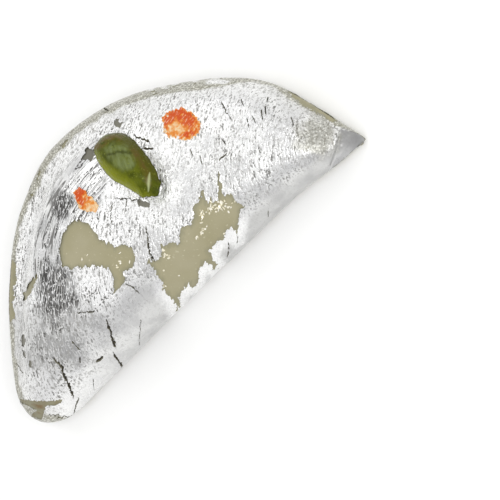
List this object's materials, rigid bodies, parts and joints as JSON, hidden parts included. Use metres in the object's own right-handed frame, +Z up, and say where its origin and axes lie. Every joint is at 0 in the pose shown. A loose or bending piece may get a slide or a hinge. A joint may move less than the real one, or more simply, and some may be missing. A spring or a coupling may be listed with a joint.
{
  "type": "cashew gujiya",
  "caption": "Half-moon sweet of soft cashew dough with a rolled fold, a thin curved rim, a skin of silver leaf and a half pistachio kernel in the lid.",
  "frame": {"origin": "on the surface that the flat underside rests on, below the middle of the box", "axes": "+X along the straight fold towards the pointed tip, +Y from the fold out to the curved rim, +Z up"},
  "size_m": [0.0778, 0.037, 0.0175],
  "materials": {
    "cashew_dough": "soft cashew fudge, matt with a slight grease sheen",
    "pistachio_kernel": "glazed half kernel, green with olive and brown skin",
    "silver_leaf": "beaten silver leaf, creased and torn, satin bright",
    "saffron": "thin moist film of saffron syrup"
  },
  "bodies": {
    "root": {"gujiya": "cashew_dough", "pistachio": "pistachio_kernel"}
  },
  "joints": []
}
